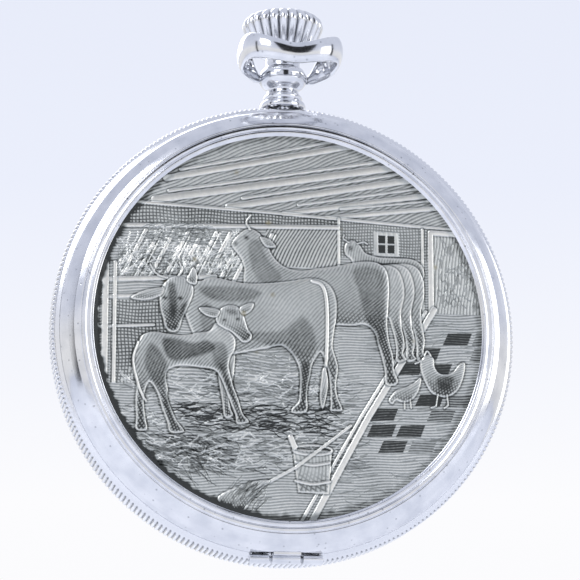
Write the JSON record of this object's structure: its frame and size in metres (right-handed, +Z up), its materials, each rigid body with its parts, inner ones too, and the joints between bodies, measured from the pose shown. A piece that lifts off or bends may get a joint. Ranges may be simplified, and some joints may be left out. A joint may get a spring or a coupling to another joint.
{
  "type": "open face pocket watch",
  "caption": "Round open face pocket watch with a hinged engraved back, coin-edged band, pendant bow, fluted winding crown, domed crystal and a jointed wheel train inside.",
  "frame": {"origin": "lowest point of the coin-edged case band, where a stand's cradle carries it, at the middle of the band's thickness", "axes": "+Z up through the pendant and crown, +Y from the back towards the dial, +X to the right seen from the back"},
  "size_m": [0.05, 0.0164, 0.0611],
  "materials": {
    "silver": "mirror polished",
    "steel": "fine ground",
    "gilt": "gilt",
    "nickel": "damaskeened nickel",
    "blued": "blued steel",
    "enamel": "glossy white enamel",
    "glass": "clear"
  },
  "bodies": {
    "case": {"back_hinge_pin": "steel", "balance_cock": "nickel", "balance_cock_screw": "steel", "barrel_bridge": "nickel", "barrel_bridge_screw_1": "steel", "barrel_bridge_screw_2": "steel", "barrel_bridge_screw_3": "steel", "bezel": "silver", "case_band": "silver", "case_screw_1": "steel", "case_screw_2": "steel", "click_spring": "steel", "crown_wheel_screw": "steel", "crystal": "glass", "dial": "enamel", "dust_hinge_pin": "steel", "hairspring": "blued", "mainplate": "nickel", "mainspring": "steel", "pallet_bridge": "nickel", "pallet_bridge_screw": "steel", "pendant": "silver", "train_bridge": "nickel", "train_bridge_screw_1": "steel", "train_bridge_screw_2": "steel"},
    "bow": {"bow": "silver"},
    "back_cover": {"back_cover": "silver"},
    "dust_cover": {"dust_cover": "silver"},
    "winding_arbor": {"winding_pinion": "steel"},
    "crown": {"crown": "silver", "stem": "steel"},
    "crown_wheel": {"crown_wheel": "steel"},
    "ratchet": {"ratchet_wheel": "steel", "ratchet_screw": "steel", "barrel_arbor": "steel"},
    "click": {"click": "steel"},
    "barrel": {"mainspring_barrel": "gilt", "barrel_lid": "gilt"},
    "centre": {"centre_wheel": "gilt", "centre_pinion": "steel", "cannon_pinion": "steel", "minute_hand": "blued"},
    "third": {"third_wheel": "gilt", "third_pinion": "steel"},
    "fourth": {"fourth_wheel": "gilt", "fourth_pinion": "steel", "seconds_hand": "blued"},
    "escape": {"escape_wheel": "steel", "escape_pinion": "steel"},
    "pallet": {"pallet_fork": "steel", "pallet_arbor": "steel"},
    "balance": {"balance_wheel": "gilt", "balance_staff": "steel"},
    "minute_wheel": {"minute_wheel": "gilt"},
    "hour": {"hour_wheel": "gilt", "hour_hand": "blued"},
    "regulator": {"regulator": "steel"}
  },
  "joints": [
    {"name": "bow_swing", "type": "hinge", "parent": "case", "child": "bow", "pos_m": [0, 0, 0.0537], "axis": [1, 0, 0], "range_deg": [-205, 25]},
    {"name": "back_cover_open", "type": "hinge", "parent": "case", "child": "back_cover", "pos_m": [0, -0.00237, 0.0005], "axis": [1, 0, 0], "range_deg": [0, 100]},
    {"name": "dust_cover_open", "type": "hinge", "parent": "case", "child": "dust_cover", "pos_m": [0, -0.00237, 0.00225], "axis": [1, 0, 0], "range_deg": [0, 85]},
    {"name": "winding_turn", "type": "hinge", "parent": "case", "child": "winding_arbor", "pos_m": [0, 0, 0.0426], "axis": [0, 0, 1], "continuous": true},
    {"name": "crown_pull", "type": "slide", "parent": "winding_arbor", "child": "crown", "axis": [0, 0, 1], "range_m": [0, 0.0009]},
    {"name": "crown_wheel_turn", "type": "hinge", "parent": "case", "child": "crown_wheel", "pos_m": [0.0006, -0.0027, 0.03918], "axis": [0, 1, 0], "continuous": true},
    {"name": "ratchet_turn", "type": "hinge", "parent": "case", "child": "ratchet", "pos_m": [-0.00561, -0.0027, 0.0337], "axis": [0, 1, 0], "continuous": true},
    {"name": "click_lift", "type": "hinge", "parent": "case", "child": "click", "pos_m": [-0.01157, -0.0027, 0.03092], "axis": [0, 1, 0], "range_deg": [-14, 0], "stiffness_Nm_per_rad": 0.0002},
    {"name": "seconds_turn", "type": "hinge", "parent": "case", "child": "fourth", "pos_m": [0, -0.0003, 0.0154], "axis": [0, 1, 0], "continuous": true},
    {"name": "third_turn", "type": "hinge", "parent": "case", "child": "third", "pos_m": [0.00432, -0.0008, 0.01924], "axis": [0, 1, 0], "continuous": true},
    {"name": "centre_turn", "type": "hinge", "parent": "case", "child": "centre", "pos_m": [0, -0.0014, 0.025], "axis": [0, 1, 0], "continuous": true},
    {"name": "barrel_turn", "type": "hinge", "parent": "case", "child": "barrel", "pos_m": [-0.00561, -0.001, 0.0337], "axis": [0, 1, 0], "continuous": true},
    {"name": "escape_turn", "type": "hinge", "parent": "case", "child": "escape", "pos_m": [-0.0045, 0.0001, 0.01334], "axis": [0, 1, 0], "continuous": true},
    {"name": "minute_wheel_turn", "type": "hinge", "parent": "case", "child": "minute_wheel", "pos_m": [0.00451, 0.00175, 0.02664], "axis": [0, 1, 0], "continuous": true},
    {"name": "hour_turn", "type": "hinge", "parent": "case", "child": "hour", "pos_m": [0, 0.00205, 0.025], "axis": [0, 1, 0], "continuous": true},
    {"name": "balance_swing", "type": "hinge", "parent": "case", "child": "balance", "pos_m": [-0.0103, -0.0014, 0.0174], "axis": [0, 1, 0], "range_deg": [-150, 150], "stiffness_Nm_per_rad": 0.000001},
    {"name": "pallet_rock", "type": "hinge", "parent": "case", "child": "pallet", "pos_m": [-0.00741, 0.0001, 0.01538], "axis": [0, 1, 0], "range_deg": [-5, 5]},
    {"name": "regulator_shift", "type": "hinge", "parent": "case", "child": "regulator", "pos_m": [-0.0103, -0.0029, 0.0174], "axis": [0, 1, 0], "range_deg": [-20, 20]}
  ],
  "couplings": [
    {"joint": "dust_cover_open", "follows": "back_cover_open", "ratio": 0.85},
    {"joint": "crown_wheel_turn", "follows": "winding_turn", "ratio": 0.5},
    {"joint": "ratchet_turn", "follows": "winding_turn", "ratio": -0.38462},
    {"joint": "third_turn", "follows": "seconds_turn", "ratio": -0.13333},
    {"joint": "centre_turn", "follows": "seconds_turn", "ratio": 0.016667},
    {"joint": "barrel_turn", "follows": "seconds_turn", "ratio": -0.0020833},
    {"joint": "escape_turn", "follows": "seconds_turn", "ratio": -10},
    {"joint": "minute_wheel_turn", "follows": "seconds_turn", "ratio": -0.0055556},
    {"joint": "hour_turn", "follows": "seconds_turn", "ratio": 0.0013889}
  ]
}
